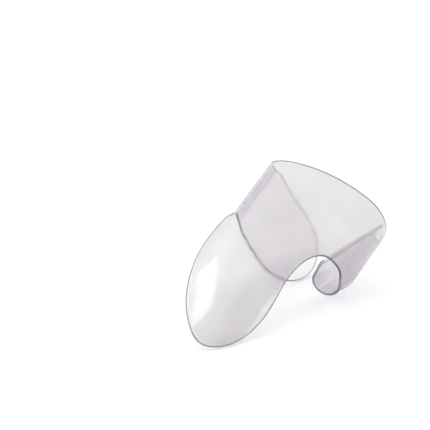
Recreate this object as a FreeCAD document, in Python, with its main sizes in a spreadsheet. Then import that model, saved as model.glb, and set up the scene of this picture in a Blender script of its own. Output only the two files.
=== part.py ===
"""Cheek retractor: one clear plastic sheet, moulded in a single piece.

The sheet runs from the free end of a lip flap, round a fold, over an arched web and round a shoulder into a
tapered finger loop. An oval blade, which holds the cheek, grows from the near edge of the web.

It is drawn with the generators of the folded sheet along Y, the blade towards -Y and Z normal to the web,
and then turned to the attitude in which it lies on a table: on the blade's tip, the mouth of the finger loop
and the tip of the flap. The origin is the middle of the base of its box.
"""

import FreeCAD, Part
import math
import os

from FreeCAD import Vector

SIZES = (
    ("wall", 1.1, "thickness of the moulded sheet"),
    ("apex_x", 31.2, "highest line of the web, from the start of the fold"),
    ("web_radius", 48.4, "radius of the arched web"),
    ("web_far", 19.4, "far rim of the web"),
    ("web_near", -16.6, "near rim of the web, where the blade begins"),
    ("shoulder_radius", 14.8, "radius of the shoulder"),
    ("shoulder_start", 11.0, "slope at which the web turns into the shoulder, degrees"),
    ("fold_radius", 3.0, "radius of the fold between web and flap"),
    ("fold_near", -12.0, "near end of the fold"),
    ("flap_slope", 52.4, "slope of the flap where it leaves the fold, degrees"),
    ("flap_radius", 72.4, "radius of the flap"),
    ("flap_length", 46.0, "length of the flap's strip, which the rounded end cuts short"),
    ("flap_tip", 35.0, "tip of the flap, from the start of the fold"),
    ("flap_near", -13.8, "near side of the flap"),
    ("flap_far", 21.2, "far side of the flap"),
    ("flap_flare", 4.0, "reach over which the flap widens from the fold"),
    ("loop_near_radius", 6.9, "bottom radius of the finger loop at its mouth"),
    ("loop_near_rise", 8.2, "straight wall of the loop at its mouth"),
    ("loop_near_drop", 0.3, "straight wall below the shoulder at the mouth"),
    ("loop_far_radius", 1.5, "bottom radius of the loop at its far end"),
    ("loop_far_rise", 6.5, "straight wall of the loop at its far end"),
    ("loop_far_drop", 3.4, "straight wall below the shoulder at the far end"),
    ("lip_near_radius", 8.0, "radius of the inturned free edge at the mouth"),
    ("lip_far_radius", 4.0, "radius of the inturned free edge at the far end"),
    ("lip_turn", 38.0, "how far the free edge turns in, degrees"),
    ("blade_tip", -74.8, "tip of the blade"),
    ("blade_twist", 7.0, "how far the right side of the blade turns down beside the notch"),
    ("blade_droop_left", 9.0, "how far the left side of the blade drops towards the tip"),
    ("blade_droop_middle", 12.5, "how far the middle of the blade drops towards the tip"),
    ("blade_droop_right", 10.0, "how far the right side of the blade drops towards the tip"),
    ("rest_yaw", 15.018, "attitude at rest, about Z, degrees"),
    ("rest_pitch", 34.372, "attitude at rest, about Y, degrees"),
    ("rest_roll", 25.418, "attitude at rest, about X, degrees"),
)

# Outline of the blade seen from above: right rim from the crest of the notch, tip, left rim back to the fold.
BLADE_OUTLINE = (
    (38.3, -16.6),
    (34.2, -23.4),
    (32.2, -33.5),
    (33.0, -47.0),
    (31.8, -60.0),
    (26.5, -70.6),
    (18.5, -74.8),
    (9.5, -69.6),
    (2.8, -60.0),
    (-1.6, -48.0),
    (-3.9, -34.0),
    (-3.7, -22.0),
    (-1.5, -12.0),
)

# Three lines along the blade that carry its cross-sections, and where the sections lie, as shares of its length.
BLADE_LEFT, BLADE_MIDDLE, BLADE_RIGHT = -6.0, 15.0, 36.0
BLADE_STATIONS = (0.06, 0.2, 0.4, 0.6, 0.8, 1.06)
TWIST_ENDS = 0.6

# Fineness of the points that the part's box is measured on, mm.
BOX_TOLERANCE = 0.02


def make_sheet(doc):
    """Spreadsheet of the driving dimensions, one alias to a row."""
    sheet = doc.addObject("Spreadsheet::Sheet", "Sizes")
    for row, (alias, value, note) in enumerate(SIZES, start=1):
        sheet.set(f"A{row}", note)
        sheet.set(f"B{row}", str(value))
        sheet.setAlias(f"B{row}", alias)
    doc.recompute()
    return sheet


class Wall:
    """A wall of even thickness in a plane of constant Y, traced as tangent runs and arcs."""

    def __init__(self, start, heading, wall, plane_y):
        self.x, self.z = start
        self.heading = math.radians(heading)
        self.half = wall / 2
        self.y = plane_y
        self.left = []
        self.right = []

    def beside(self, offset, heading=None):
        """The point at this distance to the left of the path."""
        angle = self.heading if heading is None else heading
        return Vector(self.x - offset * math.sin(angle), self.y, self.z + offset * math.cos(angle))

    def run(self, length):
        starts = self.beside(self.half), self.beside(-self.half)
        self.x += length * math.cos(self.heading)
        self.z += length * math.sin(self.heading)
        self.left.append(Part.LineSegment(starts[0], self.beside(self.half)))
        self.right.append(Part.LineSegment(starts[1], self.beside(-self.half)))
        return self

    def turn(self, radius, angle):
        """An arc of this mid-wall radius. A positive angle turns left, a negative one right."""
        side = math.copysign(radius, angle)
        centre = self.beside(side)
        sweep = math.radians(angle)
        edges = []
        for offset in (self.half, -self.half):
            points = []
            for share in (0.0, 0.5, 1.0):
                heading = self.heading + share * sweep
                reach = offset - side
                shift = Vector(-reach * math.sin(heading), 0, reach * math.cos(heading))
                points.append(centre + shift)
            edges.append(Part.Arc(*points))
        self.heading += sweep
        self.x = centre.x + side * math.sin(self.heading)
        self.z = centre.z - side * math.cos(self.heading)
        self.left.append(edges[0])
        self.right.append(edges[1])
        return self

    def wire(self):
        left = [edge.toShape() for edge in self.left]
        right = [edge.toShape() for edge in self.right]
        start = Part.makeLine(right[0].firstVertex().Point, left[0].firstVertex().Point)
        end = Part.makeLine(left[-1].lastVertex().Point, right[-1].lastVertex().Point)
        return Part.Wire(Part.__sortEdges__([start, *left, end, *right]))


def web_height(sizes, x):
    """Height of the web's middle surface, which is zero where the fold begins."""
    reach = math.sqrt(sizes.web_radius**2 - (x - sizes.apex_x) ** 2)
    return reach - math.sqrt(sizes.web_radius**2 - sizes.apex_x**2)


def web_slope(sizes, x):
    """Slope of the web in degrees, positive where it rises with x."""
    return math.degrees(math.asin((sizes.apex_x - x) / sizes.web_radius))


def web_wire(sizes):
    """The web from the fold to the lowest point of the shoulder."""
    slope = web_slope(sizes, 0)
    path = Wall((0, 0), slope, sizes.wall, sizes.web_near)
    path.turn(sizes.web_radius, -slope - sizes.shoulder_start)
    path.turn(sizes.shoulder_radius, sizes.shoulder_start - 90)
    return path


def neck_wire(sizes, left):
    """The web carried on to the left of the fold line, where the blade leaves it."""
    slope = web_slope(sizes, left)
    path = Wall((left, web_height(sizes, left)), slope, sizes.wall, sizes.web_near)
    return path.turn(sizes.web_radius, web_slope(sizes, 0) - slope)


def fold_wire(sizes):
    slope = web_slope(sizes, 0)
    path = Wall((0, 0), 180 + slope, sizes.wall, sizes.fold_near)
    return path.turn(sizes.fold_radius, 180 - sizes.flap_slope - slope)


def flap_wire(sizes, near):
    fold = fold_wire(sizes)
    path = Wall((fold.x, fold.z), -sizes.flap_slope, sizes.wall, near)
    return path.turn(sizes.flap_radius, math.degrees(sizes.flap_length / sizes.flap_radius))


def loop_wire(sizes, plane_y, drop, bottom_radius, rise, lip_radius):
    shoulder = web_wire(sizes)
    path = Wall((shoulder.x, shoulder.z), -90, sizes.wall, plane_y)
    path.run(drop)
    path.turn(bottom_radius, -180)
    path.run(rise)
    return path.turn(lip_radius, -sizes.lip_turn)


def section_wire(wall, y, ends):
    """A cross-section of the blade: an arc through three points, given the wall's thickness."""
    middle = [Vector(x, y, z) for x, z in ends]
    circle = Part.Circle(*middle)
    edges = []
    for offset in (wall / 2, -wall / 2):
        scale = (circle.Radius + offset) / circle.Radius
        points = [circle.Center + (point - circle.Center) * scale for point in middle]
        edges.append(Part.Arc(*points).toShape())
    start = Part.makeLine(edges[1].firstVertex().Point, edges[0].firstVertex().Point)
    end = Part.makeLine(edges[0].lastVertex().Point, edges[1].lastVertex().Point)
    return Part.Wire(Part.__sortEdges__([start, edges[0], end, edges[1]]))


def blade_outline(points, level, back):
    """The blade from above: a smooth curve through its points, closed by straight sides on the web."""
    curve = Part.BSplineCurve()
    curve.interpolate([Vector(x, y, level) for x, y in points])
    first, last = curve.StartPoint, curve.EndPoint
    sides = Part.makePolygon([last, Vector(last.x, back, level), Vector(first.x, back, level), first])
    return Part.Wire(Part.__sortEdges__([curve.toShape(), *sides.Edges]))


def flap_outline(sizes, level):
    """The flap from above: a tongue that flares from the fold and ends in a half circle."""
    radius = (sizes.flap_far - sizes.flap_near) / 2
    middle = (sizes.flap_far + sizes.flap_near) / 2
    end = sizes.flap_tip - radius
    back = -2 * sizes.fold_radius
    far_side = [(back, sizes.web_far), (0, sizes.web_far), (sizes.flap_flare, sizes.flap_far),
                (end, sizes.flap_far)]
    near_side = [(end, sizes.flap_near), (sizes.flap_flare, sizes.flap_near), (0, sizes.fold_near),
                 (back, sizes.fold_near), (back, sizes.web_far)]
    tip = Part.Arc(Vector(end, sizes.flap_far, level), Vector(sizes.flap_tip, middle, level),
                   Vector(end, sizes.flap_near, level))
    edges = [tip.toShape()]
    for side in (far_side, near_side):
        edges += Part.makePolygon([Vector(x, y, level) for x, y in side]).Edges
    return Part.Wire(Part.__sortEdges__(edges))


def add_face(doc, label, wire):
    """A flat face as an object of the document."""
    feature = doc.addObject("Part::Feature", label)
    feature.Label = label
    feature.Shape = Part.Face(wire)
    return feature


def add_extrusion(doc, label, base, direction, length):
    """An extrusion whose length is an expression on the sheet."""
    extrusion = doc.addObject("Part::Extrusion", label)
    extrusion.Label = label
    extrusion.Base = base
    extrusion.DirMode = "Custom"
    extrusion.Dir = direction
    extrusion.Solid = True
    extrusion.setExpression("LengthFwd", length)
    return extrusion


def add_common(doc, label, base, tool):
    common = doc.addObject("Part::Common", label)
    common.Label = label
    common.Base = base
    common.Tool = tool
    return common


def add_loft(doc, label, wires, ruled):
    loft = doc.addObject("Part::Loft", label)
    loft.Label = label
    sections = []
    for number, wire in enumerate(wires):
        section = doc.addObject("Part::Feature", f"{label}_section_{number}")
        section.Shape = wire
        sections.append(section)
    loft.Sections = sections
    loft.Solid = True
    loft.Ruled = ruled
    return loft


def make_web(doc, sizes):
    """The arched web with its shoulder, and the fold beside it."""
    along = Vector(0, 1, 0)
    web_face = add_face(doc, "web_profile", web_wire(sizes).wire())
    web = add_extrusion(doc, "web", web_face, along, "Sizes.web_far - Sizes.web_near")
    fold_face = add_face(doc, "fold_profile", fold_wire(sizes).wire())
    fold = add_extrusion(doc, "fold", fold_face, along, "Sizes.web_far - Sizes.fold_near")
    return [web, fold]


def make_flap(doc, sizes):
    """The lip flap: a curved strip trimmed to its tongue outline."""
    near = sizes.flap_near - sizes.wall
    profile = add_face(doc, "flap_profile", flap_wire(sizes, near).wire())
    strip = add_extrusion(doc, "flap_strip", profile, Vector(0, 1, 0),
                          "Sizes.flap_far - Sizes.flap_near + 2 * Sizes.wall")
    level = -2 * sizes.flap_tip
    outline = add_face(doc, "flap_outline", flap_outline(sizes, level))
    cutter = add_extrusion(doc, "flap_cutter", outline, Vector(0, 0, 1), "4 * Sizes.flap_tip")
    return [add_common(doc, "flap", strip, cutter)]


def make_loop(doc, sizes):
    """The finger loop, which tapers from its mouth to its far end."""
    mouth = loop_wire(sizes, sizes.web_near, sizes.loop_near_drop, sizes.loop_near_radius,
                      sizes.loop_near_rise, sizes.lip_near_radius)
    far = loop_wire(sizes, sizes.web_far, sizes.loop_far_drop, sizes.loop_far_radius,
                    sizes.loop_far_rise, sizes.lip_far_radius)
    return [add_loft(doc, "finger_loop", [mouth.wire(), far.wire()], ruled=True)]


def blade_heights(sizes, share):
    """Heights of the blade's left, middle and right line at this share of its length."""
    turned = min(share / TWIST_ENDS, 1)
    twist = sizes.blade_twist * (3 - 2 * turned) * turned**2
    left = web_height(sizes, BLADE_LEFT) - sizes.blade_droop_left * share**2
    middle = web_height(sizes, BLADE_MIDDLE) - sizes.blade_droop_middle * share**2
    right = web_height(sizes, BLADE_RIGHT) - sizes.blade_droop_right * share**2 - twist
    return left, middle, right


def make_blade(doc, sizes):
    """The oval blade: a lofted arch and the web's own arch beside the fold, trimmed to the outline."""
    lines = BLADE_LEFT, BLADE_MIDDLE, BLADE_RIGHT
    shoulder = sizes.apex_x + sizes.web_radius * math.sin(math.radians(sizes.shoulder_start))
    root = [(x, web_height(sizes, x)) for x in (BLADE_LEFT, BLADE_MIDDLE, shoulder)]
    wires = [section_wire(sizes.wall, sizes.web_near, root)]
    for share in BLADE_STATIONS:
        y = sizes.web_near + share * (sizes.blade_tip - sizes.web_near)
        wires.append(section_wire(sizes.wall, y, list(zip(lines, blade_heights(sizes, share)))))
    strip = add_loft(doc, "blade_strip", wires, ruled=False)
    neck_face = add_face(doc, "neck_profile", neck_wire(sizes, BLADE_LEFT).wire())
    neck = add_extrusion(doc, "neck_strip", neck_face, Vector(0, 1, 0), "Sizes.fold_near - Sizes.web_near")
    level = sizes.blade_tip
    outline = add_face(doc, "blade_outline", blade_outline(BLADE_OUTLINE, level, sizes.fold_near))
    cutter = add_extrusion(doc, "blade_cutter", outline, Vector(0, 0, 1), "-2 * Sizes.blade_tip")
    return [add_common(doc, "blade", strip, cutter), add_common(doc, "neck", neck, cutter)]


def rest_on_base(moulding, sizes):
    """Turn the moulding to its attitude at rest, with the origin in the middle of its base."""
    turn = FreeCAD.Rotation(sizes.rest_yaw, sizes.rest_pitch, sizes.rest_roll)
    points = [turn.multVec(point) for point in moulding.Shape.tessellate(BOX_TOLERANCE)[0]]
    box = FreeCAD.BoundBox()
    for point in points:
        box.add(point)
    moulding.Placement = FreeCAD.Placement(Vector(-box.Center.x, -box.Center.y, -box.ZMin), turn)


def check(doc, label):
    """The finished shape of this object, after every object of the document has been checked."""
    for item in doc.Objects:
        if "Invalid" in item.State or "Error" in item.State:
            raise RuntimeError(f"{item.Label} failed to compute")
    shape = doc.getObject(label).Shape
    if shape.isNull() or not shape.isValid() or len(shape.Solids) != 1:
        raise RuntimeError(f"{label} is not one valid solid")
    return shape


def main():
    doc = FreeCAD.newDocument("cheek_retractor")
    sizes = make_sheet(doc)
    regions = make_web(doc, sizes) + make_flap(doc, sizes) + make_loop(doc, sizes) + make_blade(doc, sizes)
    moulding = doc.addObject("Part::MultiFuse", "retractor_moulding")
    moulding.Label = "retractor_moulding"
    moulding.Shapes = regions
    moulding.Refine = True
    doc.recompute()
    rest_on_base(moulding, sizes)
    doc.recompute()
    shape = check(doc, "retractor_moulding")
    os.makedirs("parts", exist_ok=True)
    shape.exportStep("parts/retractor_moulding.step")
    print("volume", round(shape.Volume, 1), "moved by", moulding.Placement.Base)


main()
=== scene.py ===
import math

import bpy
import numpy as np
from mathutils import Matrix, Vector
from mathutils.geometry import delaunay_2d_cdt


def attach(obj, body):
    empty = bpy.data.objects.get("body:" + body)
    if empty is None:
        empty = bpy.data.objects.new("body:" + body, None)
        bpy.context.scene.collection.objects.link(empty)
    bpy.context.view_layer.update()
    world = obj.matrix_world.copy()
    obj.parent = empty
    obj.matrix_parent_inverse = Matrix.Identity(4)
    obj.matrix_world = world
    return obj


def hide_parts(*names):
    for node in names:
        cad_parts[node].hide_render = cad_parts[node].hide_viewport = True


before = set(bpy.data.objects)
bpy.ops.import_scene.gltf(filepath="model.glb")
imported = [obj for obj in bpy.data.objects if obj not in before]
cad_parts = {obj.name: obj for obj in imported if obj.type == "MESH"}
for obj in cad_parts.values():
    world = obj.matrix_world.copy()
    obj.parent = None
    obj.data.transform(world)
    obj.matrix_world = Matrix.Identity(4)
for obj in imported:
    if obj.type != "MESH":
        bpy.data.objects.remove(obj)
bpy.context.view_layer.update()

# A clear one-piece cheek retractor. The moulding is drawn as one sheet: a flat pattern with coordinates p
# and q is bent into its shape, where p runs along the folded profile, from the flap (negative) over the fold
# (0) to the finger loop, and q runs along the generators. The drawn frame is that of the design, and the
# finished mesh is turned to the attitude in which the part lies on a table. Lengths of the part are in
# millimetres, and those of the camera, the lamps and the floor are in metres.

NODE = "retractor_moulding"
MM = 0.001

WALL = 1.1
# The wall thins to this at the loop's free edge, over this reach.
EDGE_WALL, EDGE_TAPER = 0.5, 6.0

# The web is an arc with its top at APEX_X, and its shoulder a tighter one.
APEX_X = 31.2
WEB_RADIUS = 48.4
WEB_FAR, WEB_NEAR = 19.4, -16.6
SHOULDER_RADIUS = 14.8
SHOULDER_START = math.radians(11)

# The fold, and the flap under the web: a tongue between its near and far side that ends at its tip (x).
FOLD_RADIUS = 3.0
FLAP_SLOPE = math.radians(52.4)
FLAP_RADIUS = 72.4
FLAP_LENGTH = 46.0
FLAP_TIP = 35.0
FLAP_NEAR, FLAP_FAR = -13.8, 21.2

# The finger loop at its two ends: a straight drop, the radius of the bottom, a straight rise, and the radius
# of the lip, which turns in by LIP_TURN.
LOOP_MOUTH = {"drop": 0.3, "bottom": 6.9, "rise": 8.2, "lip": 8.0}
LOOP_FAR = {"drop": 3.4, "bottom": 1.5, "rise": 6.5, "lip": 4.0}
LIP_TURN = math.radians(38)
# Its outer wall turns in towards the mouth by this much, over this reach from the mouth. The turn begins this
# far ahead of the shoulder's end, and is complete after this run.
MOUTH_TUCK, MOUTH_REACH = 2.6, 9.0
TUCK_AHEAD, TUCK_RUN = 17.0, 13.0

# The blade: its tip (q), the three lines along it that carry its arch (x), how far each drops at the tip, and
# how far the third turns down besides, which is complete at this share of the length.
BLADE_TIP = -74.8
BLADE_LINES = (-6.0, 15.0, 36.0)
BLADE_DROOPS = (9.0, 12.5, 10.0)
BLADE_TWIST, TWIST_ENDS = 7.0, 0.6
# Its outline seen from above, from the near rim of the web round the tip to the fold.
BLADE_OUTLINE = (
    (43.0, -16.6),
    (40.2, -16.8),
    (37.6, -18.3),
    (34.2, -23.4),
    (32.2, -33.5),
    (33.0, -47.0),
    (31.8, -60.0),
    (26.5, -70.6),
    (18.5, -74.8),
    (9.5, -69.6),
    (2.8, -60.0),
    (-1.6, -48.0),
    (-3.9, -34.0),
    (-3.8, -24.0),
    (-3.2, -18.0),
    (-2.3, -14.4),
)
# Between these lines (q) the sheet passes from the fold's bend to the blade's arch. Past this distance round
# the fold it follows the bend all the same, and this is the fade from one to the other.
CURL_FROM, CURL_TO = -12.0, -16.5
CURL_EDGE, CURL_FADE = 4.3, 2.5

# Attitude at rest, as turns about X, Y and Z in that order, and the place of the drawn frame's origin.
REST_TURN = [math.radians(angle) for angle in (25.418, 34.372, 15.018)]
REST_PLACE = (-18.32, 16.73, 41.76)

PLASTIC_IOR = 1.5
# The sheet's tint varies between these two.
CLEAR_LOW, CLEAR_HIGH = (0.695, 0.675, 0.697, 1), (0.742, 0.724, 0.746, 1)
# Painted light that lifts the shade on the flap: it is nearer to this pale colour by this share, which it
# gains over this length from the end of the fold.
PAINTED_LIGHT_COLOUR = (0.99, 0.98, 0.992, 1)
FLAP_PAINTED_LIGHT, FLAP_FADE = 0.66, 4.0
# The loop's inner wall fades to this painted light too, from this far ahead of the free edge and over this
# reach.
PAINTED_LIGHT_FROM, PAINTED_LIGHT_REACH = 17.0, 8.0
# The free edge has this roughness, which begins this far ahead of it and is complete after this reach.
SOFT_ROUGHNESS = 0.7
SOFT_FROM, SOFT_REACH = 7.0, 5.0

# Painted shade in the fold and the loop, for the darker look of the bent sheet: its colour at full share, and
# the shares: in the fold, along the line where it runs out into the flap, in the loop, and how much is added
# at the loop's mouth. Each share has its fades.
BEND_SHADE_COLOUR = (0.54, 0.49, 0.59, 1)
FOLD_SHADE, FOLD_EDGE = 0.3, 2.0
LINE_SHADE, LINE_PLACE, LINE_WIDTH = 0.7, 2.7, 1.6
WEB_FADE = 6.0
LOOP_SHADE, LOOP_AHEAD, LOOP_FADE = 0.15, 6.0, 8.0
MOUTH_SHADE, MOUTH_FADE = 0.4, 14.0

# Rounded rims: the colour of the painted shade that darkens them, and how clear they stay. The loop's rims
# lose this share of the painted shade, which begins this far ahead of the shoulder's end and takes this long.
# The free edge has none of it.
RIM_SHADE_COLOUR = (0.055, 0.045, 0.065, 1)
EDGE_CLEARNESS = 0.1
CLEARNESS_RANGE = (0.1, 0.75)
RIM_LOSS, RIM_AHEAD, RIM_FADE = 0.25, 12.0, 8.0
FREE_EDGE = 1.5 * WALL

# Noise of the material: features to the metre, detail and stretch, and the noise values at which a range
# starts and ends. The haze is a roughness, and a bump has a strength and a distance.
TINT_NOISE, TINT_RANGE = (60, 2), (0.35, 0.65)
HAZE_NOISE, HAZE_RANGE = (900, 4), (0.4, 0.7)
HAZE_LOW, HAZE_HIGH = 0.10, 0.17
FLOW_NOISE, FLOW_BUMP = (110, 3, (1, 0.5, 1)), (0.5, 0.0004)
SCUFF_NOISE, SCUFF_BUMP = (1400, 3, (1, 0.15, 1)), (0.03, 0.0001)
# What the sheet lets through of a lamp's light.
LAMP_SHARE = (0.985, 0.983, 0.988, 1)

# The camera, in the drawn frame: its right and up, and where its middle line passes beside the origin, in
# millimetres along these two. Then its distance, and the width that it sees at that distance.
VIEW_RIGHT = (0.84, 0.48, 0.26)
VIEW_UP = (-0.54, 0.64, 0.55)
VIEW_CENTRE = (-15.8, -9.7)
VIEW_DISTANCE = 1.3
VIEW_WIDTH = 0.172

FLOOR_SIZE, FLOOR_LEVEL = 3.0, -0.0002
FLOOR_GREY, FLOOR_ROUGHNESS, FLOOR_GLOSS = 0.9, 0.9, 0.1
# A light tent: its brightness (white is 1), that of its opening, the way to the opening, and the cosines
# between which the one fades into the other.
TENT_LEVEL, OPENING_LEVEL = 1.17, 0.0
OPENING_WAY = (0.78, -0.11, 0.616)
OPENING_FADE = (0.86, 0.97)
# Softboxes: name, direction from the part, direction of the long side, distance, sides and brightness.
LAMPS = (
    ("strip", (-0.19, -0.17, 0.966), (0.8, -0.6, 0), 2.4, (2.1, 0.42), 4.0),
    ("side", (0.93, 0.03, 0.36), (0, 1, 0), 3.0, (0.9, 0.5), 3.0),
)

# Fineness: rings across a rounded rim, steps along the rim and between the points of the sheet, steps of the
# traced profiles, step for the normals, and points on a rounded corner and on the flap's half circle.
RIM_RINGS = 5
RIM_STEP = 0.5
GRID = 0.9
PROFILE_STEP = 0.02
NORMAL_STEP = 0.02
CORNER_STEPS = 10
TONGUE_POINTS = 90


def smooth(share):
    """A step from 0 to 1 with level ends."""
    share = np.clip(share, 0, 1)
    return share * share * (3 - 2 * share)


def trace(start, heading, moves):
    """Lengths and points (x, z) along tangent runs and arcs. A move is its length and how far it turns."""
    lengths, points = [0.0], [np.array(start, float)]
    for length, turn in moves:
        count = max(int(length / PROFILE_STEP), 2)
        step = length / count
        for number in range(count):
            middle = heading + turn * (number + 0.5) / count
            points.append(points[-1] + step * np.array((math.cos(middle), math.sin(middle))))
            lengths.append(lengths[-1] + step)
        heading += turn
    return np.array(lengths), np.array(points)


def web_angle(x):
    """Slope angle of the web's arc at x, negative on the rising side."""
    return np.arcsin((x - APEX_X) / WEB_RADIUS)


FIRST_SLOPE = -float(web_angle(0))
WEB_LENGTH = WEB_RADIUS * (FIRST_SLOPE + SHOULDER_START)
SHOULDER_LENGTH = SHOULDER_RADIUS * (math.pi / 2 - SHOULDER_START)
TOP_LENGTH = WEB_LENGTH + SHOULDER_LENGTH
FOLD_TURN = math.pi - FLAP_SLOPE - FIRST_SLOPE
FOLD_LENGTH = FOLD_RADIUS * FOLD_TURN

WEB_PATH = trace((0, 0), FIRST_SLOPE, ((WEB_LENGTH, -FIRST_SLOPE - SHOULDER_START),
                                       (SHOULDER_LENGTH, SHOULDER_START - math.pi / 2)))
FLAP_PATH = trace((0, 0), math.pi + FIRST_SLOPE, ((FOLD_LENGTH, FOLD_TURN),
                                                  (FLAP_LENGTH, FLAP_LENGTH / FLAP_RADIUS)))


def loop_moves(loop):
    """The moves of this end of the loop: drop, bottom, rise and lip."""
    return ((loop["drop"], 0), (math.pi * loop["bottom"], -math.pi), (loop["rise"], 0),
            (loop["lip"] * LIP_TURN, -LIP_TURN))


def loop_path(loop):
    """The loop's profile, with the length at which each of its moves ends."""
    moves = loop_moves(loop)
    lengths, points = trace(WEB_PATH[1][-1], -math.pi / 2, moves)
    ends = np.cumsum([0.0] + [length for length, _ in moves])
    return lengths, points, ends


MOUTH_PATH = loop_path(LOOP_MOUTH)
FAR_PATH = loop_path(LOOP_FAR)
# Where the loop's moves end in the pattern, which has the longer of both ends for each of them.
LOOP_LENGTHS = [max(a[0], b[0]) for a, b in zip(loop_moves(LOOP_MOUTH), loop_moves(LOOP_FAR))]
LOOP_ENDS = np.cumsum([0.0] + LOOP_LENGTHS)
PATTERN_END = TOP_LENGTH + LOOP_ENDS[-1]

# Rounded corners of the pattern: place (p, q) and radius. The far ones lead from the near end of the loop's
# free edge round the far end and the fold to the flap, and the near ones from the flap to the fold.
FAR_CORNERS = (
    (PATTERN_END, WEB_NEAR, 1.5),
    (PATTERN_END, WEB_FAR, 1.5),
    (3.5, WEB_FAR, 6.0),
    (-1.5, WEB_FAR - 0.9, 3.0),
    (-FOLD_LENGTH - 1.5, WEB_FAR - 0.2, 3.0),
    (-FOLD_LENGTH - 7.0, FLAP_FAR, 6.0),
)
NEAR_CORNERS = (
    (-FOLD_LENGTH - 9.0, FLAP_NEAR, 8.0),
    (-FOLD_LENGTH - 0.6, CURL_FROM - 0.3, 1.0),
)
# Radius of the corner between the fold's near end and the blade.
NOTCH_RADIUS = 0.9


def at(path, length):
    """The points (x, z) of a traced path at these lengths."""
    return np.stack([np.interp(length, path[0], path[1][:, k]) for k in (0, 1)], -1)


def blade_height(x, share):
    """Height of the blade: at this share of its length, a circle through the points of its three lines."""
    twist = BLADE_TWIST * smooth(share / TWIST_ENDS)
    drops = [droop * share**2 + (twist if k == 2 else 0) for k, droop in enumerate(BLADE_DROOPS)]
    rise = math.sqrt(WEB_RADIUS**2 - APEX_X**2)
    (x1, x2, x3) = BLADE_LINES
    (z1, z2, z3) = (np.sqrt(WEB_RADIUS**2 - (line - APEX_X) ** 2) - rise - drop
                    for line, drop in zip(BLADE_LINES, drops))
    det = 2 * (x1 * (z2 - z3) + x2 * (z3 - z1) + x3 * (z1 - z2))
    s1, s2, s3 = x1**2 + z1**2, x2**2 + z2**2, x3**2 + z3**2
    cx = (s1 * (z2 - z3) + s2 * (z3 - z1) + s3 * (z1 - z2)) / det
    cz = (s1 * (x3 - x2) + s2 * (x1 - x3) + s3 * (x2 - x1)) / det
    radius = np.sqrt((x1 - cx) ** 2 + (z1 - cz) ** 2)
    return cz + np.sqrt(radius**2 - (x - cx) ** 2)


def bend(p, q):
    """The middle surface of the sheet at these points of its pattern, in the drawn frame."""
    top = at(WEB_PATH, np.clip(p, 0, TOP_LENGTH))
    x, z = top[:, 0], top[:, 1]
    # to the left of the fold line the blade carries on along the web's own arc
    ahead = np.minimum(p, 0) / WEB_RADIUS - FIRST_SLOPE
    arc_x = APEX_X + WEB_RADIUS * np.sin(ahead)
    arc_z = WEB_RADIUS * (np.cos(ahead) - math.cos(FIRST_SLOPE))
    x = np.where(p < 0, arc_x, x)
    z = np.where(p < 0, arc_z, z)
    share = np.maximum(WEB_NEAR - q, 0) / (WEB_NEAR - BLADE_TIP)
    on_blade = (q < WEB_NEAR) & (p < WEB_LENGTH + 1)
    # the limit keeps points that are off the blade within reach of its circles
    z = np.where(on_blade, blade_height(np.minimum(x, APEX_X + WEB_RADIUS / 2), share), z)
    # round the fold, and beside it, the sheet turns under
    under = at(FLAP_PATH, np.maximum(-p, 0))
    flat = smooth((CURL_FROM - q) / (CURL_FROM - CURL_TO))
    flat = np.where(q < CURL_TO, 1, flat * (1 - smooth((-p - CURL_EDGE) / CURL_FADE)))
    x = np.where(p < 0, flat * x + (1 - flat) * under[:, 0], x)
    z = np.where(p < 0, flat * z + (1 - flat) * under[:, 1], z)
    # past the shoulder the loop tapers from its mouth to its far end
    beyond = np.maximum(p - TOP_LENGTH, 0)
    mouth = at(MOUTH_PATH, np.interp(beyond, LOOP_ENDS, MOUTH_PATH[2]))
    far = at(FAR_PATH, np.interp(beyond, LOOP_ENDS, FAR_PATH[2]))
    taper = np.clip((q - WEB_NEAR) / (WEB_FAR - WEB_NEAR), 0, 1)[:, None]
    loop = (1 - taper) * mouth + taper * far
    x = np.where(p > TOP_LENGTH, loop[:, 0], x)
    z = np.where(p > TOP_LENGTH, loop[:, 1], z)
    # its outer wall turns in at the mouth, which wears off round the bottom
    tucked = smooth((p - TOP_LENGTH + TUCK_AHEAD) / TUCK_RUN)
    tucked = tucked * (1 - smooth((p - TOP_LENGTH - LOOP_ENDS[1]) / (LOOP_ENDS[2] - LOOP_ENDS[1])))
    x = x - MOUTH_TUCK * tucked * smooth((WEB_NEAR + MOUTH_REACH - q) / MOUTH_REACH)
    return np.stack([x, q, z], -1)


def surface(pattern):
    """Middle points of the sheet and its unit normals, which point away from the lip space."""
    p, q = pattern[:, 0], pattern[:, 1]
    across = bend(p + NORMAL_STEP, q) - bend(p - NORMAL_STEP, q)
    along = bend(p, q + NORMAL_STEP) - bend(p, q - NORMAL_STEP)
    normals = np.cross(across, along)
    return bend(p, q), normals / np.linalg.norm(normals, axis=1, keepdims=True)


def spline(points, step):
    """A natural cubic spline through the points, sampled at about this step."""
    points = np.array(points, float)
    chords = np.linalg.norm(np.diff(points, axis=0), axis=1)
    knots = np.concatenate([[0], np.cumsum(chords)])
    size = len(points)
    matrix, right = np.eye(size), np.zeros((size, 2))
    for k in range(1, size - 1):
        before, after = chords[k - 1], chords[k]
        matrix[k, k - 1:k + 2] = before, 2 * (before + after), after
        right[k] = 6 * ((points[k + 1] - points[k]) / after - (points[k] - points[k - 1]) / before)
    second = np.linalg.solve(matrix, right)
    where = np.linspace(0, knots[-1], int(knots[-1] / step))
    k = np.clip(np.searchsorted(knots, where, side="right") - 1, 0, size - 2)
    gap = chords[k][:, None]
    a = (knots[k + 1] - where)[:, None] / gap
    b = 1 - a
    bulge = ((a**3 - a) * second[k] + (b**3 - b) * second[k + 1]) * gap**2 / 6
    return a * points[k] + b * points[k + 1] + bulge


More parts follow.
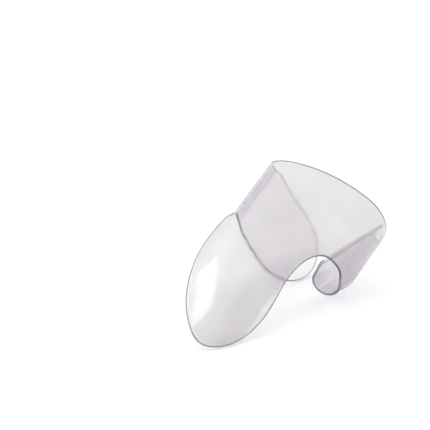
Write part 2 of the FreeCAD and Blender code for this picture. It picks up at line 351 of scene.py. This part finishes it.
def rounded(corners):
    """A chain of straight runs whose corners (p, q, radius) are rounded. The first and last stay sharp."""
    chain = [np.array(corners[0][:2], float)]
    for before, corner, after in zip(corners, corners[1:], corners[2:]):
        here = np.array(corner[:2], float)
        towards = [np.array(other[:2], float) - here for other in (before, after)]
        towards = [vector / np.linalg.norm(vector) for vector in towards]
        opening = math.acos(np.clip(towards[0] @ towards[1], -1, 1))
        back = corner[2] / math.tan(opening / 2)
        starts = [here + back * vector for vector in towards]
        middle = towards[0] + towards[1]
        centre = here + middle / np.linalg.norm(middle) * corner[2] / math.sin(opening / 2)
        for number in range(CORNER_STEPS + 1):
            spoke = starts[0] + (starts[1] - starts[0]) * number / CORNER_STEPS - centre
            chain.append(centre + spoke / np.linalg.norm(spoke) * corner[2])
    chain.append(np.array(corners[-1][:2], float))
    return chain


def even(chain, step):
    """The closed chain resampled to even steps."""
    chain = np.array(chain + [chain[0]])
    gaps = np.linalg.norm(np.diff(chain, axis=0), axis=1)
    keep = np.concatenate([[True], gaps > 1e-6])
    chain = chain[keep]
    lengths = np.concatenate([[0], np.cumsum(np.linalg.norm(np.diff(chain, axis=0), axis=1))])
    count = int(lengths[-1] / step)
    where = np.arange(count) * lengths[-1] / count
    return np.stack([np.interp(where, lengths, chain[:, k]) for k in (0, 1)], -1)


def flap_pattern(x):
    """Pattern coordinate of the point of the flap at this x."""
    start = FLAP_PATH[1][int(FOLD_LENGTH / PROFILE_STEP)][0]
    reach = np.arcsin((x - start) / FLAP_RADIUS - math.sin(FLAP_SLOPE)) + FLAP_SLOPE
    return -FOLD_LENGTH - FLAP_RADIUS * reach


def outline():
    """The closed rim of the pattern: near rim, free edge of the loop, far rim, flap, notch and blade."""
    blade = spline(BLADE_OUTLINE, RIM_STEP / 2)
    blade[:, 0] = WEB_RADIUS * (web_angle(blade[:, 0]) + FIRST_SLOPE)
    radius = (FLAP_FAR - FLAP_NEAR) / 2
    middle = (FLAP_FAR + FLAP_NEAR) / 2
    turn = np.linspace(math.pi / 2, -math.pi / 2, TONGUE_POINTS)
    end = FLAP_TIP - radius
    tongue = np.stack([flap_pattern(end + radius * np.cos(turn)), middle + radius * np.sin(turn)], -1)
    far_side = rounded(((blade[0][0], WEB_NEAR, 0), *FAR_CORNERS, (*tongue[0], 0)))
    notch = (blade[-1][0], CURL_FROM, NOTCH_RADIUS)
    near_side = rounded(((*tongue[-1], 0), *NEAR_CORNERS, notch, (*blade[-1], 0)))
    return even(far_side + list(tongue) + near_side + list(blade[::-1]), RIM_STEP)


def inside(points, rim, margin):
    """Which points lie inside the rim and at least this far from it."""
    crossings = np.zeros(len(points), int)
    nearest = np.full(len(points), np.inf)
    for a, b in zip(rim, np.roll(rim, -1, axis=0)):
        spans = (a[1] > points[:, 1]) != (b[1] > points[:, 1])
        rise = b[1] - a[1] if b[1] != a[1] else 1.0
        crossings += spans & (points[:, 0] < (b[0] - a[0]) * (points[:, 1] - a[1]) / rise + a[0])
        edge = b - a
        share = np.clip(((points - a) @ edge) / (edge @ edge), 0, 1)
        nearest = np.minimum(nearest, np.linalg.norm(points - a - share[:, None] * edge, axis=1))
    return (crossings % 2 == 1) & (nearest > margin)


def pattern_mesh():
    """Rings of the pattern from the rim inwards, the points inside them, and the triangles that fill them."""
    rim = outline()
    area = np.sum(rim[:, 0] * np.roll(rim[:, 1], -1) - np.roll(rim[:, 0], -1) * rim[:, 1])
    if area < 0:
        rim = rim[::-1]
    tangent = np.roll(rim, -1, axis=0) - np.roll(rim, 1, axis=0)
    tangent /= np.linalg.norm(tangent, axis=1, keepdims=True)
    inward = np.stack([-tangent[:, 1], tangent[:, 0]], -1)
    angles = np.linspace(0, math.pi / 2, RIM_RINGS + 1)
    rings = [rim + inward * (WALL / 2) * (1 - math.cos(angle)) for angle in angles]
    rows = np.arange(rim[:, 1].min(), rim[:, 1].max(), GRID * math.sqrt(3) / 2)
    columns = np.arange(rim[:, 0].min(), rim[:, 0].max(), GRID)
    grid = np.array([(p + (GRID / 2 if k % 2 else 0), q) for k, q in enumerate(rows) for p in columns])
    grid = grid[inside(grid, rings[-1], GRID / 2)]
    points = [Vector(point) for point in np.concatenate([rings[-1], grid])]
    count = len(rim)
    loop = [(k, (k + 1) % count) for k in range(count)]
    found, _, faces, origins, _, _ = delaunay_2d_cdt(points, loop, [], 1, 1e-5)
    order = [origin[0] if origin else None for origin in origins]
    if len(found) != len(points) or None in order:
        raise RuntimeError("the pattern's rim crosses itself")
    return rings, angles, grid, [[order[corner] for corner in face] for face in faces]


def half_wall(pattern):
    """Half the wall at these points of the pattern. It thins towards the loop's free edge."""
    taper = smooth((pattern[:, :1] - PATTERN_END + EDGE_TAPER) / EDGE_TAPER)
    return WALL / 2 * (1 - (1 - EDGE_WALL / WALL) * taper)


def painted_light(pattern):
    """Share of painted light that pales the tint at these points of the pattern: on the flap and by the
    loop's free edge.
    """
    p = pattern[:, 0]
    on_flap = smooth((-p - FOLD_LENGTH) / FLAP_FADE)
    by_edge = smooth((p - PATTERN_END + PAINTED_LIGHT_FROM) / PAINTED_LIGHT_REACH)
    return np.maximum(FLAP_PAINTED_LIGHT * on_flap, by_edge)


def bend_shade(pattern):
    """Share of painted shade at these points of the pattern, which darkens the tint in the fold and the loop,
    most at the loop's mouth, and along the line where the fold runs out into the flap."""
    p, q = pattern[:, 0], pattern[:, 1]
    beside_web = smooth((q - WEB_NEAR) / WEB_FADE)
    fade = 2 * FOLD_EDGE
    in_fold = smooth((FOLD_EDGE - p) / fade) * smooth((p + FOLD_LENGTH + FOLD_EDGE) / fade) * beside_web
    on_line = smooth(1 - np.abs(p + FOLD_LENGTH + LINE_PLACE) / LINE_WIDTH) * beside_web
    in_loop = smooth((p - TOP_LENGTH + LOOP_AHEAD) / LOOP_FADE) * (1 - painted_light(pattern))
    by_mouth = 1 - smooth((q - WEB_NEAR) / MOUTH_FADE)
    of_loop = (LOOP_SHADE + MOUTH_SHADE * by_mouth) * in_loop
    return np.maximum(np.maximum(FOLD_SHADE * in_fold, of_loop), LINE_SHADE * on_line)


def soft(pattern):
    """How matt the sheet is at these points of the pattern: only by the loop's free edge."""
    return smooth((pattern[:, 0] - PATTERN_END + SOFT_FROM) / SOFT_REACH)


def painted_rim_shade(pattern):
    """How much painted shade a rounded rim gets: full round blade and flap, less on the loop, none at its
    free edge.
    """
    p = pattern[:, 0]
    shade = 1 - RIM_LOSS * smooth((p - TOP_LENGTH + RIM_AHEAD) / RIM_FADE)
    return shade * (p < PATTERN_END - FREE_EDGE)


def moulding_mesh():
    """The whole sheet with its wall and half-round rims, as one closed mesh in the drawn frame, with the
    values at its points that the material reads."""
    rings, angles, grid, fill = pattern_mesh()
    count = len(rings[0])
    layers = [surface(rings[0])[0]]
    faces = []
    for side in (1, -1):
        base = sum(len(layer) for layer in layers)
        for number in range(1, RIM_RINGS + 1):
            middle, normal = surface(rings[number])
            layers.append(middle + side * normal * half_wall(rings[number]) * math.sin(angles[number]))
        middle, normal = surface(grid)
        layers.append(middle + side * normal * half_wall(grid))
        for number in range(RIM_RINGS):
            outer = 0 if number == 0 else base + (number - 1) * count
            inner = base + number * count
            for k in range(count):
                after = (k + 1) % count
                quad = [outer + k, outer + after, inner + after, inner + k]
                faces.append(quad[::side])
        last = base + (RIM_RINGS - 1) * count
        faces += [[last + corner for corner in face[::side]] for face in fill]
    rounded_rim = [math.cos(angle) + np.zeros(count) for angle in angles[1:]] + [np.zeros(len(grid))]
    rounded_rim = np.concatenate([np.ones(count)] + 2 * rounded_rim)
    pattern = np.concatenate([rings[0]] + 2 * (rings[1:] + [grid]))
    # values for the material: painted light on the flap and free edge, roughness, rim roundness, painted
    # shade on the rims, and painted shade in the fold and loop
    shares = {
        "painted_light": painted_light(pattern),
        "soft": soft(pattern),
        "round": rounded_rim,
        "rim": np.sqrt(rounded_rim) * painted_rim_shade(pattern),
        "bend": bend_shade(pattern),
    }
    return np.concatenate(layers), faces, shares


def to_row_frame(points):
    """Turns points to the attitude at rest, sets them in place, and goes from millimetres to metres."""
    turn = Matrix.Rotation(REST_TURN[2], 3, "Z") @ Matrix.Rotation(REST_TURN[1], 3, "Y")
    turn = np.array(turn @ Matrix.Rotation(REST_TURN[0], 3, "X"))
    shift = np.array(REST_PLACE)
    return (points @ turn.T + shift) * MM, turn, shift * MM


def noise(tree, place, scale, detail, stretch=(1, 1, 1)):
    """A noise texture in object coordinates, with this many features to the metre."""
    mapping = tree.nodes.new("ShaderNodeMapping")
    mapping.inputs["Scale"].default_value = stretch
    tree.links.new(place.outputs["Object"], mapping.inputs["Vector"])
    texture = tree.nodes.new("ShaderNodeTexNoise")
    texture.inputs["Scale"].default_value = scale
    texture.inputs["Detail"].default_value = detail
    tree.links.new(mapping.outputs["Vector"], texture.inputs["Vector"])
    return texture.outputs["Fac"]


def ramp(tree, value, low, high, start, end):
    """A colour or grey that runs from low to high as the value runs from start to end."""
    node = tree.nodes.new("ShaderNodeValToRGB")
    node.color_ramp.elements[0].position = start
    node.color_ramp.elements[1].position = end
    node.color_ramp.elements[0].color = low
    node.color_ramp.elements[1].color = high
    tree.links.new(value, node.inputs["Fac"])
    return node.outputs["Color"]


def attribute(tree, name):
    """A value that the mesh carries at its points."""
    node = tree.nodes.new("ShaderNodeAttribute")
    node.attribute_name = name
    return node.outputs["Fac"]


def mixed(tree, share, first, second):
    """The first colour, an output, mixed with the second, a constant, by this share."""
    node = tree.nodes.new("ShaderNodeMix")
    node.data_type = "RGBA"
    tree.links.new(share, node.inputs["Factor"])
    tree.links.new(first, node.inputs["A"])
    node.inputs["B"].default_value = second
    return node.outputs["Result"]


def bump(tree, height, strength, distance, under=None):
    """A normal bumped by this height, on top of the normal under it if there is one."""
    node = tree.nodes.new("ShaderNodeBump")
    node.inputs["Strength"].default_value = strength
    node.inputs["Distance"].default_value = distance
    tree.links.new(height, node.inputs["Height"])
    if under:
        tree.links.new(under, node.inputs["Normal"])
    return node.outputs["Normal"]


def grey(value):
    return (value, value, value, 1)


def clear_plastic():
    """Clear injection-moulded plastic with a faint lavender tint, slight flow marks and handling haze, with
    painted shade on the rims, in the fold and in the loop, and painted light on the flap and by the free
    edge.
    """
    material = bpy.data.materials.new("clear_plastic")
    material.use_nodes = True
    tree = material.node_tree
    shader = tree.nodes["Principled BSDF"]
    place = tree.nodes.new("ShaderNodeTexCoord")
    shader.inputs["IOR"].default_value = PLASTIC_IOR
    tint = ramp(tree, noise(tree, place, *TINT_NOISE), CLEAR_LOW, CLEAR_HIGH, *TINT_RANGE)
    # painted light: the flap and the loop's free edge are paled to lift their shade
    tint = mixed(tree, attribute(tree, "painted_light"), tint, PAINTED_LIGHT_COLOUR)
    # painted shade in the fold, along the line where it runs out into the flap, and in the loop
    tint = mixed(tree, attribute(tree, "bend"), tint, BEND_SHADE_COLOUR)
    # painted shade: the rounded rims are darkened
    tint = mixed(tree, attribute(tree, "rim"), tint, RIM_SHADE_COLOUR)
    tree.links.new(tint, shader.inputs["Base Color"])
    # the rims let less light through, so that their painted shade shows
    clearness = ramp(tree, attribute(tree, "round"), grey(1), grey(EDGE_CLEARNESS), *CLEARNESS_RANGE)
    tree.links.new(clearness, shader.inputs["Transmission Weight"])
    haze = ramp(tree, noise(tree, place, *HAZE_NOISE), grey(HAZE_LOW), grey(HAZE_HIGH), *HAZE_RANGE)
    haze = mixed(tree, attribute(tree, "soft"), haze, grey(SOFT_ROUGHNESS))
    tree.links.new(haze, shader.inputs["Roughness"])
    flow = bump(tree, noise(tree, place, *FLOW_NOISE), *FLOW_BUMP)
    scuff = bump(tree, noise(tree, place, *SCUFF_NOISE), *SCUFF_BUMP, flow)
    tree.links.new(scuff, shader.inputs["Normal"])
    # lamps shine straight through, so that the sheet's shadow is as light as a clear one's
    lamp_light = tree.nodes.new("ShaderNodeBsdfTransparent")
    lamp_light.inputs["Color"].default_value = LAMP_SHARE
    path = tree.nodes.new("ShaderNodeLightPath")
    mix = tree.nodes.new("ShaderNodeMixShader")
    tree.links.new(path.outputs["Is Shadow Ray"], mix.inputs["Fac"])
    tree.links.new(shader.outputs["BSDF"], mix.inputs[1])
    tree.links.new(lamp_light.outputs["BSDF"], mix.inputs[2])
    tree.links.new(mix.outputs["Shader"], tree.nodes["Material Output"].inputs["Surface"])
    return material


def make_moulding():
    """The moulding in its place. The answer is how the drawn frame is turned and shifted, in metres."""
    points, faces, shares = moulding_mesh()
    points, turn, shift = to_row_frame(points)
    mesh = bpy.data.meshes.new("clear_moulding")
    mesh.from_pydata([tuple(point) for point in points], [], faces)
    for name, values in shares.items():
        mesh.attributes.new(name, "FLOAT", "POINT").data.foreach_set("value", values.astype(np.float32))
    mesh.shade_smooth()
    moulding = bpy.data.objects.new("clear_moulding", mesh)
    bpy.context.scene.collection.objects.link(moulding)
    moulding.data.materials.append(clear_plastic())
    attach(moulding, "root")
    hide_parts(NODE)
    return turn, shift


def make_floor():
    """A plain pale floor."""
    material = bpy.data.materials.new("studio_white")
    material.use_nodes = True
    shader = material.node_tree.nodes["Principled BSDF"]
    shader.inputs["Base Color"].default_value = grey(FLOOR_GREY)
    shader.inputs["Roughness"].default_value = FLOOR_ROUGHNESS
    shader.inputs["Specular IOR Level"].default_value = FLOOR_GLOSS
    bpy.ops.mesh.primitive_plane_add(size=FLOOR_SIZE, location=(0, 0, FLOOR_LEVEL))
    floor = bpy.context.object
    floor.name = "floor"
    floor.data.materials.append(material)


def make_light(name, towards, along, distance, sides, level):
    """A rectangular softbox of this brightness that faces the part."""
    data = bpy.data.lights.new(name, "AREA")
    data.shape = "RECTANGLE"
    data.size, data.size_y = sides
    data.energy = level * math.pi * sides[0] * sides[1]
    lamp = bpy.data.objects.new(name, data)
    bpy.context.scene.collection.objects.link(lamp)
    towards = Vector(towards).normalized()
    side = Vector(along).cross(towards).normalized()
    basis = Matrix((side.cross(towards) * -1, side * -1, towards)).transposed()
    lamp.matrix_world = Matrix.LocRotScale(towards * distance, basis.to_quaternion(), None)


def make_world():
    """A light tent that surrounds the part, with one dark opening."""
    world = bpy.data.worlds.new("light_tent")
    world.use_nodes = True
    tree = world.node_tree
    direction = tree.nodes.new("ShaderNodeTexCoord")
    facing = tree.nodes.new("ShaderNodeVectorMath")
    facing.operation = "DOT_PRODUCT"
    facing.inputs[1].default_value = OPENING_WAY
    tree.links.new(direction.outputs["Generated"], facing.inputs[0])
    level = ramp(tree, facing.outputs["Value"], grey(TENT_LEVEL), grey(OPENING_LEVEL), *OPENING_FADE)
    tree.links.new(level, tree.nodes["Background"].inputs["Color"])
    bpy.context.scene.world = world


def make_camera(turn, shift):
    """A distant camera that looks at the convex side of the web, blade towards the lower left."""
    right, up = (np.array(axis, float) for axis in (VIEW_RIGHT, VIEW_UP))
    right /= np.linalg.norm(right)
    up -= (up @ right) * right
    up /= np.linalg.norm(up)
    back = np.cross(right, up)
    aim = turn @ (VIEW_CENTRE[0] * right + VIEW_CENTRE[1] * up) * MM + shift
    data = bpy.data.cameras.new("camera")
    data.lens = data.sensor_width * VIEW_DISTANCE / VIEW_WIDTH
    camera = bpy.data.objects.new("camera", data)
    bpy.context.scene.collection.objects.link(camera)
    basis = np.stack([turn @ right, turn @ up, turn @ back], -1)
    place = Vector(aim + basis[:, 2] * VIEW_DISTANCE)
    camera.matrix_world = Matrix.LocRotScale(place, Matrix(basis).to_quaternion(), None)
    bpy.context.scene.camera = camera


turn, shift = make_moulding()
make_floor()
make_world()
for lamp in LAMPS:
    make_light(*lamp)
make_camera(turn, shift)
bpy.context.scene.view_settings.view_transform = "Standard"
